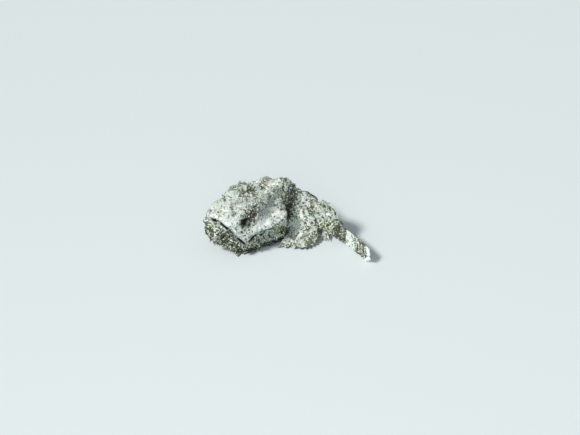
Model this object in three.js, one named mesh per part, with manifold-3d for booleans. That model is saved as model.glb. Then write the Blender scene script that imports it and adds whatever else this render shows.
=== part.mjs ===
// A humpbacked false stonefish at rest on the sea floor, life size, as a museum model in one pose.
// Units are millimetres and +Z is up. The head points towards -X and the tail towards +X, the fish's left side
// faces -Y, and the model stands on z = 0 with the middle of its outline at x = y = 0.
//
// The flesh is one smooth field of distances, sampled on a graded grid in a straight body, whose surface is then
// bent along the spine and parted with thin cuts. Fins are sheets laid over fans of rays. Skin flaps and head
// spines are tapering blades with their roots sunk in the flesh.

import * as THREE from "three";
import { mergeVertices } from "three/addons/utils/BufferGeometryUtils.js";
import Module from "manifold-3d";

const wasm = await Module();
wasm.setup();

// Driving dimensions
const BODY_LENGTH = 203; // chin to the root of the tail fin
const TAIL_FIN_LENGTH = 57;
const GAP = 0.35; // left between neighbouring nodes
const FLOOR = 0;

// The spine seen from above: straight head, then arcs that turn towards the fish's left
const HEAD_HEADING = 30;
const SPINE = [
  { length: 88, turn: 0 },
  { length: 60, turn: -58 },
  { length: 55, turn: -22 },
  { length: 60, turn: -2 },
];

// Colours of the wet skin, dusted with sand
const SKIN = new THREE.Color(0.55, 0.56, 0.47);
const FIN = new THREE.Color(0.58, 0.58, 0.5);
const EYE = new THREE.Color(0.16, 0.11, 0.09);
const skinFinish = new THREE.MeshStandardMaterial({ color: SKIN, roughness: 0.85, metalness: 0 });
const finFinish = new THREE.MeshStandardMaterial({ color: FIN, roughness: 0.8, metalness: 0 });
const eyeFinish = new THREE.MeshStandardMaterial({ color: EYE, roughness: 0.25, metalness: 0 });

const radians = THREE.MathUtils.degToRad;
const lerp = THREE.MathUtils.lerp;
const clamp = THREE.MathUtils.clamp;
const point = (x, y, z) => new THREE.Vector3(x, y, z);

// A smooth curve through [position, value] pairs, level beyond its ends
function track(pairs) {
  const slope = pairs.map((pair, i) => {
    const before = pairs[Math.max(i - 1, 0)];
    const after = pairs[Math.min(i + 1, pairs.length - 1)];
    return (after[1] - before[1]) / (after[0] - before[0]);
  });
  return (x) => {
    if (x <= pairs[0][0]) return pairs[0][1];
    const last = pairs.length - 1;
    if (x >= pairs[last][0]) return pairs[last][1];
    const i = pairs.findIndex((pair) => pair[0] > x) - 1;
    const span = pairs[i + 1][0] - pairs[i][0];
    const t = (x - pairs[i][0]) / span;
    const t2 = t * t;
    const t3 = t2 * t;
    return (
      (2 * t3 - 3 * t2 + 1) * pairs[i][1] +
      (t3 - 2 * t2 + t) * span * slope[i] +
      (3 * t2 - 2 * t3) * pairs[i + 1][1] +
      (t3 - t2) * span * slope[i + 1]
    );
  };
}

// Where a point of the straight body goes when the spine is bent
function bend(p) {
  let heading = radians(HEAD_HEADING);
  let along = p.x;
  const at = new THREE.Vector2(0, 0);
  SPINE.forEach(({ length, turn }, i) => {
    const last = i === SPINE.length - 1;
    const first = i === 0;
    const step = last ? along : first ? Math.min(along, length) : clamp(along, 0, length);
    const swing = radians(turn) * (step / length);
    const reach = Math.abs(swing) < 1e-9 ? step : (step * Math.sin(swing / 2)) / (swing / 2);
    if (first || along > 0) {
      at.x += reach * Math.cos(heading + swing / 2);
      at.y += reach * Math.sin(heading + swing / 2);
      heading += swing;
      along -= step;
    }
  });
  return point(at.x - p.y * Math.sin(heading), at.y + p.y * Math.cos(heading), p.z);
}

// A flat sheet of space that touches the bent body at one station, for fins that spread far to the side
function besideStation(x) {
  const middle = bend(point(x, 0, 0));
  const across = bend(point(x, 1, 0)).sub(middle);
  const along = point(across.y, -across.x, 0);
  return (p) => middle.clone().addScaledVector(along, p.x - x).addScaledVector(across, p.y).setZ(p.z);
}

// Distances to simple forms, and soft joins of them
const softMin = (a, b, k) => {
  const h = Math.max(k - Math.abs(a - b), 0) / k;
  return Math.min(a, b) - (h * h * k) / 4;
};
const softMax = (a, b, k) => -softMin(-a, -b, k);
const toBall = (p, c, r) => Math.hypot(p.x - c.x, p.y - c.y, p.z - c.z) - r;
function toEgg(p, c, r) {
  const x = (p.x - c.x) / r.x;
  const y = (p.y - c.y) / r.y;
  const z = (p.z - c.z) / r.z;
  const k0 = Math.hypot(x, y, z);
  const k1 = Math.hypot(x / r.x, y / r.y, z / r.z);
  return k1 < 1e-9 ? -Math.min(r.x, r.y, r.z) : (k0 * (k0 - 1)) / k1;
}
function toLimb(p, a, b, ra, rb) {
  const d = { x: b.x - a.x, y: b.y - a.y, z: b.z - a.z };
  const q = { x: p.x - a.x, y: p.y - a.y, z: p.z - a.z };
  const t = clamp((q.x * d.x + q.y * d.y + q.z * d.z) / (d.x * d.x + d.y * d.y + d.z * d.z), 0, 1);
  return Math.hypot(q.x - t * d.x, q.y - t * d.y, q.z - t * d.z) - lerp(ra, rb, t);
}

// A repeatable number from 0 to 1 for a cell of space
function chance(i, j, k, salt) {
  const n = Math.sin(i * 127.1 + j * 311.7 + k * 74.7 + salt * 53.3) * 43758.5453;
  return n - Math.floor(n);
}

// Rounded knobs, one in most cells of a cubic lattice, from 0 between them to 1 at their middles
function knobs(p, cell) {
  const ci = Math.floor(p.x / cell);
  const cj = Math.floor(p.y / cell);
  const ck = Math.floor(p.z / cell);
  let best = 0;
  for (let i = ci - 1; i <= ci + 1; i++)
    for (let j = cj - 1; j <= cj + 1; j++)
      for (let k = ck - 1; k <= ck + 1; k++) {
        const dx = (i + chance(i, j, k, 1)) * cell - p.x;
        const dy = (j + chance(i, j, k, 2)) * cell - p.y;
        const dz = (k + chance(i, j, k, 3)) * cell - p.z;
        const near = 1 - Math.hypot(dx, dy, dz) / (cell * lerp(0.45, 0.75, chance(i, j, k, 4)));
        best = Math.max(best, near);
      }
  return best * best * (3 - 2 * best);
}

// The trunk: half width, back, belly, height of the widest level and squareness of the section, along the body
const halfWidth = track([
  [-4, 5], [0, 12], [6, 19], [14, 26], [25, 32.5], [40, 37], [60, 38], [86, 37], [102, 33], [118, 27], [135, 20.5],
  [152, 14.5], [176, 9], [BODY_LENGTH, 4.5],
]);
const back = track([
  [-4, 36], [0, 42], [6, 49], [16, 56], [30, 60], [52, 61], [70, 59], [84, 62], [97, 74], [108, 78], [117, 75],
  [128, 62], [140, 54], [158, 45.5], [180, 36], [BODY_LENGTH, 29],
]);
const belly = track([
  [-4, 26], [0, 20], [7, 13], [15, 7], [24, 2], [34, -2], [46, -5], [134, -5], [152, 0], [174, 5],
  [BODY_LENGTH, 7],
]);
const widestAt = track([[0, 31], [12, 27], [26, 22], [60, 23], [100, 22], [150, 19], [BODY_LENGTH, 16]]);
const squareness = track([[0, 2.6], [20, 3.4], [64, 3.2], [84, 2.2], [102, 1.5], [140, 1.6], [BODY_LENGTH, 2]]);

function toTrunk(p) {
  const w = halfWidth(p.x);
  const middle = widestAt(p.x);
  const up = p.z > middle;
  const h = up ? back(p.x) - middle : middle - belly(p.x);
  const n = up ? squareness(p.x) : 2.4;
  const r = (Math.abs(p.y / w) ** n + Math.abs((p.z - middle) / h) ** n) ** (1 / n);
  const around = (r - 1) * Math.min(w, h);
  return softMax(softMax(around, -3 - p.x, 5), p.x - BODY_LENGTH - 4, 3);
}

// Landmarks of the head's left side, mirrored to the right: across is always positive here
const EYE_AT = point(52, 22.5, 56.5);
const EYEBALL_AT = point(EYE_AT.x, EYE_AT.y + 2.5, EYE_AT.z + 1);
const EYE_RADIUS = 7;
const JAW_HINGE = 35;
const KNOB_SPACING = 11;
const KNOB_HEIGHT = 1.5;
const mouthLevel = track([[-6, 53], [4, 52.5], [11, 50], [17, 44.5], [26, 31], [JAW_HINGE, 19]]);

function toFlesh(p) {
  const q = point(p.x, Math.abs(p.y), p.z);
  let d = toTrunk(q);
  // Snout ridge, brows, nape ridges and the bony rim of each eye
  d = softMin(d, toLimb(q, point(6, 0, 46), point(36, 0, 55), 9, 8), 6);
  d = softMin(d, toLimb(q, point(38, 21, 60), point(62, 21, 65), 5.5, 6.5), 6);
  d = softMin(d, toLimb(q, point(68, 17, 63), point(92, 12, 71), 5.5, 5), 6);
  d = softMin(d, toBall(q, point(EYE_AT.x, EYE_AT.y - 1.5, EYE_AT.z), 10), 4);
  // Ridge under the eye, cheek, and the plates of the gill cover
  d = softMin(d, toLimb(q, point(42, 34, 35), point(80, 37.5, 39), 4.5, 5), 4);
  d = softMin(d, toEgg(q, point(88, 33.5, 30), point(23, 7, 21)), 4);
  d = softMin(d, toLimb(q, point(84, 36.5, 41), point(109, 33, 47), 4.5, 3), 4);
  // Hollows: between the eyes, behind them, before each eye, below the cheek, and beside the snout ridge
  d = softMax(d, -toLimb(q, point(42, 0, 70), point(64, 0, 70), 9, 10), 6);
  d = softMax(d, -toEgg(q, point(74, 0, 69), point(9, 14, 9)), 6);
  d = softMax(d, -toEgg(q, point(38, 37, 50), point(9, 9, 7)), 3);
  d = softMax(d, -toLimb(q, point(48, 43, 29), point(82, 45.5, 31), 4, 4), 3);
  d = softMax(d, -toLimb(q, point(16, 16, 60), point(32, 15, 64), 5, 5), 4);
  // Notch between the gill cover and the shoulder
  d = softMax(d, -toLimb(q, point(116, 33, 56), point(112, 40, 12), 6.5, 4.5), 3);
  // Upper and lower lips on each side of the line of the mouth
  const mouthSlope = mouthLevel(q.x + 0.5) - mouthLevel(q.x - 0.5);
  const lipLine = Math.abs(q.z - mouthLevel(q.x)) / Math.hypot(1, mouthSlope);
  if (q.x < JAW_HINGE + 4) {
    const lip = 1.8 * Math.exp(-(((lipLine - 5) / 3) ** 2)) - 1.6 * Math.exp(-((lipLine / 2.2) ** 2));
    d -= lip * clamp((JAW_HINGE + 4 - q.x) / 6, 0, 1);
  }
  return d - KNOB_HEIGHT * knobs(p, KNOB_SPACING);
}

// Grid lines from low to high, as far apart as stepAt says
function gridLines(low, high, stepAt) {
  const lines = [low];
  while (lines[lines.length - 1] < high) lines.push(lines[lines.length - 1] + stepAt(lines[lines.length - 1]));
  return lines;
}

// Where two sheets of the surface would meet at an edge or a corner of a cell, the nearest outer spot is filled
function partTouchingSheets(value, [nx, ny, nz], index, corner) {
  const faces = [1, 2, 4].flatMap((axis) => [0, axis].map((side) => {
    const [a, b] = [1, 2, 4].filter((other) => other !== axis);
    return [side, side + a, side + a + b, side + b];
  }));
  for (let changed = true; changed; ) {
    changed = false;
    const fill = (spots) => {
      const outer = spots.filter((s) => value[s] >= 0);
      value[outer.reduce((a, b) => (value[a] < value[b] ? a : b))] = -1e-3;
      changed = true;
    };
    for (let i = 0; i < nx - 1; i++)
      for (let j = 0; j < ny - 1; j++)
        for (let k = 0; k < nz - 1; k++) {
          const spots = corner.map(([a, b, c]) => index(i + a, j + b, k + c));
          for (const face of faces) {
            const [a, b, c, d] = face.map((f) => value[spots[f]] < 0);
            if (a === c && b === d && a !== b) fill(face.map((f) => spots[f]));
          }
          for (const c of [0, 1, 2, 3]) {
            const pair = [spots[c], spots[7 - c]];
            const sign = value[pair[0]] < 0;
            const others = spots.filter((s) => !pair.includes(s));
            if (value[pair[1]] < 0 === sign && others.every((s) => value[s] < 0 !== sign)) fill(spots);
          }
        }
  }
}

// The zero surface of a field on a grid, as one quad for each grid edge that it crosses
function surfaceOf(field, xs, ys, zs) {
  const [nx, ny, nz] = [xs.length, ys.length, zs.length];
  const index = (i, j, k) => (i * ny + j) * nz + k;
  const value = new Float64Array(nx * ny * nz);
  for (let i = 0; i < nx; i++)
    for (let j = 0; j < ny; j++)
      for (let k = 0; k < nz; k++) value[index(i, j, k)] = field(point(xs[i], ys[j], zs[k])) || 1e-6;

  const corner = [0, 1, 2, 3, 4, 5, 6, 7].map((c) => [c & 1, (c >> 1) & 1, (c >> 2) & 1]);
  partTouchingSheets(value, [nx, ny, nz], index, corner);
  const positions = [];
  const cellVertex = new Int32Array(nx * ny * nz).fill(-1);
  const edges = corner.flatMap((a, i) =>
    corner.map((b, j) => [i, j]).filter(([, j]) => j > i && [1, 2, 4].includes(i ^ j)),
  );
  for (let i = 0; i < nx - 1; i++)
    for (let j = 0; j < ny - 1; j++)
      for (let k = 0; k < nz - 1; k++) {
        const at = corner.map(([a, b, c]) => value[index(i + a, j + b, k + c)]);
        const sum = point(0, 0, 0);
        let crossings = 0;
        for (const [a, b] of edges) {
          if (at[a] < 0 === at[b] < 0) continue;
          const t = at[a] / (at[a] - at[b]);
          sum.x += lerp(xs[i + corner[a][0]], xs[i + corner[b][0]], t);
          sum.y += lerp(ys[j + corner[a][1]], ys[j + corner[b][1]], t);
          sum.z += lerp(zs[k + corner[a][2]], zs[k + corner[b][2]], t);
          crossings++;
        }
        if (!crossings) continue;
        cellVertex[index(i, j, k)] = positions.length;
        positions.push(sum.divideScalar(crossings));
      }

  const triangles = [];
  const addQuad = (a, b, c, d, flip) => {
    const ring = flip ? [a, d, c, b] : [a, b, c, d];
    const [p0, p1, p2, p3] = ring.map((v) => positions[v]);
    if (p0.distanceTo(p2) < p1.distanceTo(p3))
      triangles.push(ring[0], ring[1], ring[2], ring[0], ring[2], ring[3]);
    else triangles.push(ring[0], ring[1], ring[3], ring[1], ring[2], ring[3]);
  };
  for (let i = 1; i < nx - 1; i++)
    for (let j = 1; j < ny - 1; j++)
      for (let k = 1; k < nz - 1; k++) {
        const inside = value[index(i, j, k)] < 0;
        const cell = (a, b, c) => cellVertex[index(i - a, j - b, k - c)];
        if (inside !== value[index(i + 1, j, k)] < 0)
          addQuad(cell(0, 0, 0), cell(0, 1, 0), cell(0, 1, 1), cell(0, 0, 1), !inside);
        if (inside !== value[index(i, j + 1, k)] < 0)
          addQuad(cell(0, 0, 0), cell(0, 0, 1), cell(1, 0, 1), cell(1, 0, 0), !inside);
        if (inside !== value[index(i, j, k + 1)] < 0)
          addQuad(cell(0, 0, 0), cell(1, 0, 0), cell(1, 1, 0), cell(0, 1, 0), !inside);
      }
  const geometry = new THREE.BufferGeometry();
  geometry.setAttribute("position", new THREE.Float32BufferAttribute(positions.flatMap((p) => p.toArray()), 3));
  geometry.setIndex(triangles);
  return geometry;
}

// Geometry in and out of the solids that are joined and cut
function bent(geometry) {
  const at = geometry.getAttribute("position");
  for (let i = 0; i < at.count; i++) {
    const p = bend(point().fromBufferAttribute(at, i));
    at.setXYZ(i, p.x, p.y, p.z);
  }
  return geometry;
}
function joined(geometry) {
  const bare = geometry.clone();
  for (const name of Object.keys(bare.attributes)) if (name !== "position") bare.deleteAttribute(name);
  return mergeVertices(bare, 1e-4);
}
function solid(geometry) {
  const merged = joined(geometry);
  const corners = Array.from(merged.index.array);
  const kept = [];
  for (let i = 0; i < corners.length; i += 3) {
    const [a, b, c] = corners.slice(i, i + 3);
    if (a !== b && b !== c && c !== a) kept.push(a, b, c);
  }
  return new wasm.Manifold(
    new wasm.Mesh({
      numProp: 3,
      vertProperties: new Float32Array(merged.attributes.position.array),
      triVerts: new Uint32Array(kept),
    }),
  );
}
function geometryOf(made) {
  const mesh = made.getMesh();
  const geometry = new THREE.BufferGeometry();
  geometry.setAttribute("position", new THREE.BufferAttribute(new Float32Array(mesh.vertProperties), 3));
  geometry.setIndex(new THREE.BufferAttribute(new Uint32Array(mesh.triVerts), 1));
  return geometry;
}
function grown(geometry, by) {
  const merged = joined(geometry);
  merged.computeVertexNormals();
  const at = merged.getAttribute("position");
  const out = merged.getAttribute("normal");
  for (let i = 0; i < at.count; i++)
    at.setXYZ(i, at.getX(i) + by * out.getX(i), at.getY(i) + by * out.getY(i), at.getZ(i) + by * out.getZ(i));
  return merged;
}
const largest = (made) => made.decompose().reduce((a, b) => (b.volume() > a.volume() ? b : a));

// The flesh, sampled finely at the head and more coarsely behind it
const fleshGeometry = bent(
  surfaceOf(
    toFlesh,
    gridLines(-13, BODY_LENGTH + 12, (x) => (x < 112 ? 4 : 5.7)),
    gridLines(-54.6, 50, () => 4.1),
    gridLines(-17, 92, (z) => (z < 10 ? 4.2 : 4)),
  ),
);
const underFloor = solid(new THREE.BoxGeometry(900, 900, 200).translate(0, 0, FLOOR - 100));
const whole = solid(fleshGeometry).subtract(underFloor);
const fleshAndGap = solid(grown(fleshGeometry, GAP));

// Blocks that part the flesh: each is a box whose corners are placed in the straight body, then bent
function block(place, segments) {
  const box = new THREE.BoxGeometry(1, 1, 1, segments, 2, 2).translate(0.5, 0.5, 0.5);
  const at = box.getAttribute("position");
  for (let i = 0; i < at.count; i++) {
    const p = place(at.getX(i), at.getY(i), at.getZ(i));
    at.setXYZ(i, p.x, p.y, p.z);
  }
  return solid(bent(box));
}
const FAR = 80;
const lowerJawBlock = (g) => block((u, v, w) => {
  const x = lerp(-30, JAW_HINGE + g, u);
  return point(x, lerp(-FAR, FAR, v), lerp(-30, mouthLevel(x) + g, w));
}, 16);
// The upper jaw widens backwards and ends in a slanting edge
const upperJawBlock = (g) => block((u, v, w) => {
  const front = lerp(-30, JAW_HINGE, u);
  const z = lerp(mouthLevel(front) - 14, mouthLevel(front) + 9 + 2.5 * u + g, w);
  const slant = 1.1 * Math.max(0, 2.5 * u - 1.5) * (z - mouthLevel(JAW_HINGE));
  return point(front + slant + (u === 1 ? g : 0), lerp(-FAR, FAR, v), z);
}, 16);
const gillCoverBlock = (side) => (g) => block((u, v, w) => {
  const x = lerp(72 - g, 118, u);
  const inner = lerp(25, 30, (x - 72) / 40) - g;
  return point(x, side * lerp(inner, FAR, side > 0 ? v : 1 - v), lerp(5 - g, 58 + g, w));
}, 14);
const behindBlock = (from) => (g) => block((u, v, w) => (
  point(lerp(from - g, 300, u), lerp(-FAR, FAR, v), lerp(-30, 150, w))
), 24);

function part(body, blockAt) {
  return [largest(body.intersect(blockAt(0))), largest(body.subtract(blockAt(GAP)))];
}
let rest = whole;
const nodes = {};
[nodes.lower_jaw, rest] = part(rest, lowerJawBlock);
[nodes.upper_jaw, rest] = part(rest, upperJawBlock);
[nodes.gill_cover_left, rest] = part(rest, gillCoverBlock(-1));
[nodes.gill_cover_right, rest] = part(rest, gillCoverBlock(1));
[nodes.tail, rest] = part(rest, behindBlock(152));
[nodes.torso, nodes.head] = part(rest, behindBlock(94));

for (const [side, name] of [[-1, "left"], [1, "right"]]) {
  const ball = (r) => solid(
    bent(new THREE.SphereGeometry(r, 14, 9).translate(EYEBALL_AT.x, side * EYEBALL_AT.y, EYEBALL_AT.z)),
  );
  nodes["eye_" + name] = ball(EYE_RADIUS);
  nodes.head = largest(nodes.head.subtract(ball(EYE_RADIUS + GAP)));
}

// A fin: a thin sheet over a fan of rays. Every second column of the sheet is the crest of a ray, and the columns
// between are the membrane, thinner and shorter by notch(u). place(u, t) gives the middle of the sheet, with u from
// the first ray to the last and t from the root, sunk in the flesh, to the tips.
function fin({ rays, rows, place, crest, web, notch }) {
  const columns = 2 * rays - 1;
  const reach = (c) => (c % 2 ? 1 - notch((c - 1) / (columns - 1)) : 1);
  const middle = (c, r) => place(c / (columns - 1), reach(c) * (r / rows));
  const positions = [];
  const side = [];
  for (const sign of [1, -1]) {
    side.push(positions.length);
    for (let c = 0; c < columns; c++)
      for (let r = 0; r <= rows; r++) {
        const u = clamp(c / (columns - 1), 0.01, 0.99);
        const t = clamp(reach(c) * (r / rows), 0.01, 0.99);
        const alongU = place(u + 0.01, t).sub(place(u - 0.01, t));
        const alongT = place(u, t + 0.01).sub(place(u, t - 0.01));
        const out = alongU.cross(alongT).normalize();
        const half = lerp(c % 2 ? web : crest, c % 2 ? web * 0.7 : crest * 0.4, r / rows) / 2;
        positions.push(middle(c, r).addScaledVector(out, sign * half));
      }
  }
  const at = (face, c, r) => face * columns * (rows + 1) + c * (rows + 1) + r;
  const triangles = [];
  for (let c = 0; c < columns - 1; c++)
    for (let r = 0; r < rows; r++)
      for (const face of [0, 1]) {
        const [a, b, d, e] = [at(face, c, r), at(face, c + 1, r), at(face, c + 1, r + 1), at(face, c, r + 1)];
        const pair = c % 2 ? [[a, b, d], [a, d, e]] : [[a, b, e], [b, d, e]];
        for (const [p, q, s] of pair) triangles.push(...(face ? [p, s, q] : [p, q, s]));
      }
  const rim = [];
  for (let c = 0; c < columns - 1; c++) rim.push([c, 0]);
  for (let r = 0; r < rows; r++) rim.push([columns - 1, r]);
  for (let c = columns - 1; c > 0; c--) rim.push([c, rows]);
  for (let r = rows; r > 0; r--) rim.push([0, r]);
  rim.forEach(([c, r], i) => {
    const [c2, r2] = rim[(i + 1) % rim.length];
    const [a, b, a2, b2] = [at(0, c, r), at(0, c2, r2), at(1, c, r), at(1, c2, r2)];
    triangles.push(b, a, a2, b, a2, b2);
  });
  const geometry = new THREE.BufferGeometry();
  geometry.setAttribute("position", new THREE.Float32BufferAttribute(positions.flatMap((p) => p.toArray()), 3));
  geometry.setIndex(triangles);
  return largest(solid(geometry).subtract(fleshAndGap).subtract(underFloor));
}

// Dorsal fin: stout fleshy spines folded back along the hump, behind which they rise, then a lobe of soft rays
const SPINES = 12;
const spineReach = track([[0, 10], [0.2, 14], [0.6, 13], [1, 12]]);
const crestHeight = track([[0, 4], [0.3, 4.5], [0.55, 3.4], [0.75, 5], [0.9, 8], [1, 10.5]]);
nodes.dorsal_fin_spiny = fin({
  rays: SPINES, rows: 4, crest: 3.4, web: 1.5, notch: () => 0.3,
  place: (u, t) => {
    const x = lerp(94, 150, u) + spineReach(u) * t;
    return bend(point(x, 0, back(x) + lerp(-5, crestHeight(u), t)));
  },
});
const dorsalRay = track([[0, 17], [0.3, 22], [0.7, 20], [1, 13]]);
nodes.dorsal_fin_soft = fin({
  rays: 9, rows: 4, crest: 2.4, web: 1.2, notch: () => 0.1,
  place: (u, t) => {
    const x = lerp(156, 182, u);
    const length = (dorsalRay(u) + 5) * t;
    const lean = radians(lerp(52, 34, u));
    const sway = 2.5 * t * t;
    return bend(point(x + length * Math.cos(lean), -sway, back(x) - 5 + length * Math.sin(lean)));
  },
});

// Tail fin: half closed, it stands on edge behind the root of the tail, its lower rays at the floor
nodes.caudal_fin = fin({
  rays: 11, rows: 4, crest: 2.4, web: 1.2, notch: () => 0.05,
  place: (u, t) => {
    const spread = 2 * u - 1;
    const length = 4 + TAIL_FIN_LENGTH - 6 * spread * spread;
    const rise = 10.5 + 2.5 * Math.sin(2.4 * t) - 1.5 * t;
    const fold = 1.6 * Math.sin(2.6 * Math.PI * u) * t;
    return bend(point(BODY_LENGTH - 4 + length * t, fold, lerp(18, 12.5, t) + rise * spread));
  },
});

// Anal fin: its base runs under the tail and the lobe lies out to the left along the floor
nodes.anal_fin = fin({
  rays: 8, rows: 4, crest: 2.6, web: 1.3, notch: () => 0.12,
  place: (u, t) => {
    const root = point(lerp(151, 174, u), -1, lerp(5, 9, u));
    const tip = point(lerp(166, 191, u), lerp(-22, -12, u), lerp(1.4, 2.5, u));
    const arch = 3 * Math.sin(Math.PI * t);
    return bend(root.lerp(tip, t).add(point(0, 0, arch)));
  },
});

// Paired fins, given for the left side. The pectoral fin is a broad fan behind the gill cover whose tips come down
// to the floor, and the pelvic fin lies flat beneath it.
const besideBody = besideStation(119);
const pectoralTipX = track([[0, 151], [0.15, 157], [0.35, 160], [0.5, 157], [0.65, 149], [0.8, 135], [1, 103]]);
const pectoralTipY = track([[0, 19], [0.15, 26], [0.35, 37], [0.5, 46], [0.65, 54], [0.8, 56], [1, 52]]);
const pectoralTipZ = track([[0, 34], [0.15, 25], [0.35, 11], [0.5, 4], [0.65, 1.2], [1, 1.2]]);
for (const [side, name] of [[-1, "left"], [1, "right"]]) {
  nodes["pectoral_fin_" + name] = fin({
    rays: 15, rows: 5, crest: 2.8, web: 1.3, notch: () => 0.07,
    place: (across, t) => {
      const u = side < 0 ? across : 1 - across;
      const root = point(lerp(128, 122, u), side * lerp(14, 21, u), lerp(36, 7, u));
      const tip = point(pectoralTipX(u), side * pectoralTipY(u), pectoralTipZ(u));
      const arch = 6 * Math.sin(Math.PI * t) * (1 - 0.4 * u);
      return besideBody(root.lerp(tip, t).add(point(0, side * 0.5 * arch, arch)));
    },
  });
  nodes["pelvic_fin_" + name] = fin({
    rays: 6, rows: 4, crest: 2.6, web: 1.3, notch: () => 0.1,
    place: (across, t) => {
      const u = side < 0 ? across : 1 - across;
      const root = point(lerp(108, 124, u), side * lerp(17, 13, u), 3.5);
      const tip = point(lerp(139, 152, u), side * lerp(40, 22, u), 1.2);
      const arch = 2 * Math.sin(Math.PI * t);
      return besideBody(root.lerp(tip, t).add(point(0, 0, arch)));
    },
  });
}

// Where the skin lies in the straight body, seen from the middle of the section at x, and which way is out of it
function onSkin(x, side, degrees) {
  const at = (r) => point(x, side * r * Math.cos(radians(degrees)), widestAt(x) + r * Math.sin(radians(degrees)));
  let inside = 0;
  let outside = 70;
  while (outside - inside > 0.05) {
    const r = (inside + outside) / 2;
    if (toFlesh(at(r)) < 0) inside = r;
    else outside = r;
  }
  return at(inside);
}
function outOfSkin(p) {
  const slope = (x, y, z) => toFlesh(point(p.x + x, p.y + y, p.z + z)) - toFlesh(point(p.x - x, p.y - y, p.z - z));
  return point(slope(1, 0, 0), slope(0, 1, 0), slope(0, 0, 1)).normalize();
}

// A flap or spine: a tapering blade with its root sunk in the skin, swept back along the body by sweep
const ROOT_DEPTH = 3;
function blade({ root, length, width, thick, sides, steps, sweep, spare }) {
  const out = outOfSkin(root);
  const backward = point(1, 0, -0.25).projectOnPlane(out).normalize();
  const across = out.clone().cross(backward);
  const cone = new THREE.ConeGeometry(1, 1, sides, steps).translate(0, 0.5, 0);
  const at = cone.getAttribute("position");
  for (let i = 0; i < at.count; i++) {
    const t = at.getY(i);
    const p = root.clone();
    p.addScaledVector(out, lerp(-ROOT_DEPTH, length * (1 - 0.4 * sweep), t));
    p.addScaledVector(backward, sweep * length * t * t + at.getZ(i) * (thick / 2 + spare) * (1 + t));
    p.addScaledVector(across, at.getX(i) * (width / 2 + spare) * (1 + 1.4 * t));
    at.setXYZ(i, p.x, p.y, p.z);
  }
  return solid(bent(cone));
}

// Blades are fused to their node where they stand clear of every other node
function growBlade(node, form) {
  const wide = blade({ ...form, spare: GAP });
  const crossed = Object.keys(nodes).some((other) => other !== node && wide.intersect(nodes[other]).volume() > 0);
  if (crossed) return;
  const trimmed = blade({ ...form, spare: 0 }).subtract(underFloor);
  if (trimmed.intersect(nodes[node]).volume() > 0.2 * trimmed.volume()) nodes[node] = nodes[node].add(trimmed);
}

// Nostrils: a pit on each side of the snout ridge
for (const side of [-1, 1]) {
  const pit = new THREE.SphereGeometry(2, 8, 6).translate(...onSkin(33, side, 65).toArray());
  nodes.head = largest(nodes.head.subtract(solid(bent(pit))));
}

// Skin flaps, by the part they fringe. Angles are in degrees above the widest level of the section.
const FLAPS = [
  { node: "lower_jaw", count: 7, x: [2, 32], angle: [-34, -12], length: [6, 9], width: 4.5 },
  { node: "lower_jaw", count: 2, x: [4, 18], angle: [4, 30], length: [5, 7], width: 4 },
  { node: "upper_jaw", count: 2, x: [22, 34], angle: [22, 30], length: [4, 6], width: 3.6 },
  { node: "head", count: 2, x: [48, 58], angle: [60, 64], length: [8, 11], width: 5 },
  { node: "head", count: 4, x: [46, 68], angle: [-26, 12], length: [6, 9], width: 4.5 },
  { node: "head", count: 3, x: [70, 92], angle: [48, 74], length: [5, 7], width: 4 },
  { node: "gill_cover_", count: 4, x: [80, 108], angle: [-16, 36], length: [5, 8], width: 4.2 },
  { node: "torso", count: 4, x: [120, 148], angle: [44, 66], length: [5, 8], width: 4.2 },
  { node: "tail", count: 3, x: [156, 192], angle: [0, 50], length: [4, 6], width: 3.6 },
];
// Head spines, one row to a ridge: suborbital, brow, nape and gill cover
const SPINE_ROWS = [
  { node: "head", at: [[46, 22], [60, 23], [72, 24]], length: 4 },
  { node: "head", at: [[44, 60], [60, 62]], length: 4.5 },
  { node: "head", at: [[74, 63], [88, 68]], length: 5 },
  { node: "gill_cover_", at: [[84, 24], [98, 30], [106, 34]], length: 5 },
];
let draw = 0;
const between = ([low, high]) => lerp(low, high, chance(draw++, 3, 5, 7));
for (const [side, name] of [[-1, "left"], [1, "right"]]) {
  const ofSide = (node) => (node.endsWith("_") ? node + name : node);
  for (const { node, count, x, angle, length, width } of FLAPS)
    for (let i = 0; i < count; i++) {
      const along = lerp(x[0], x[1], (i + between([0.2, 0.8])) / count);
      const root = onSkin(along, side, between(angle));
      growBlade(ofSide(node), {
        root, length: between(length), width, thick: 1.7, sides: 4, steps: 2, sweep: between([0.3, 0.9]),
      });
    }
  for (const { node, at, length } of SPINE_ROWS)
    for (const [x, angle] of at)
      growBlade(ofSide(node), {
        root: onSkin(x, side, angle), length, width: 2.6, thick: 2.6, sides: 5, steps: 1, sweep: 0.6,
      });
}
for (const name of Object.keys(nodes)) nodes[name] = largest(nodes[name]);

const group = new THREE.Group();
const box = new THREE.Box3();
for (const [name, made] of Object.entries(nodes)) {
  const finish = name.startsWith("eye") ? eyeFinish : name.includes("fin") ? finFinish : skinFinish;
  const mesh = new THREE.Mesh(geometryOf(made), finish);
  mesh.name = name;
  group.add(mesh);
  box.expandByObject(mesh);
}

// The origin is under the middle of the outline, on the floor
const middle = box.getCenter(point());
group.position.set(-middle.x, -middle.y, -box.min.z);

export default group;
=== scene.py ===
# A humpbacked false stonefish, life size, as a still museum model: its looks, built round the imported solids.
# The fish lies on a pale floor with its head to the left, its hump up and its tail curled towards the camera.
import math

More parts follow.
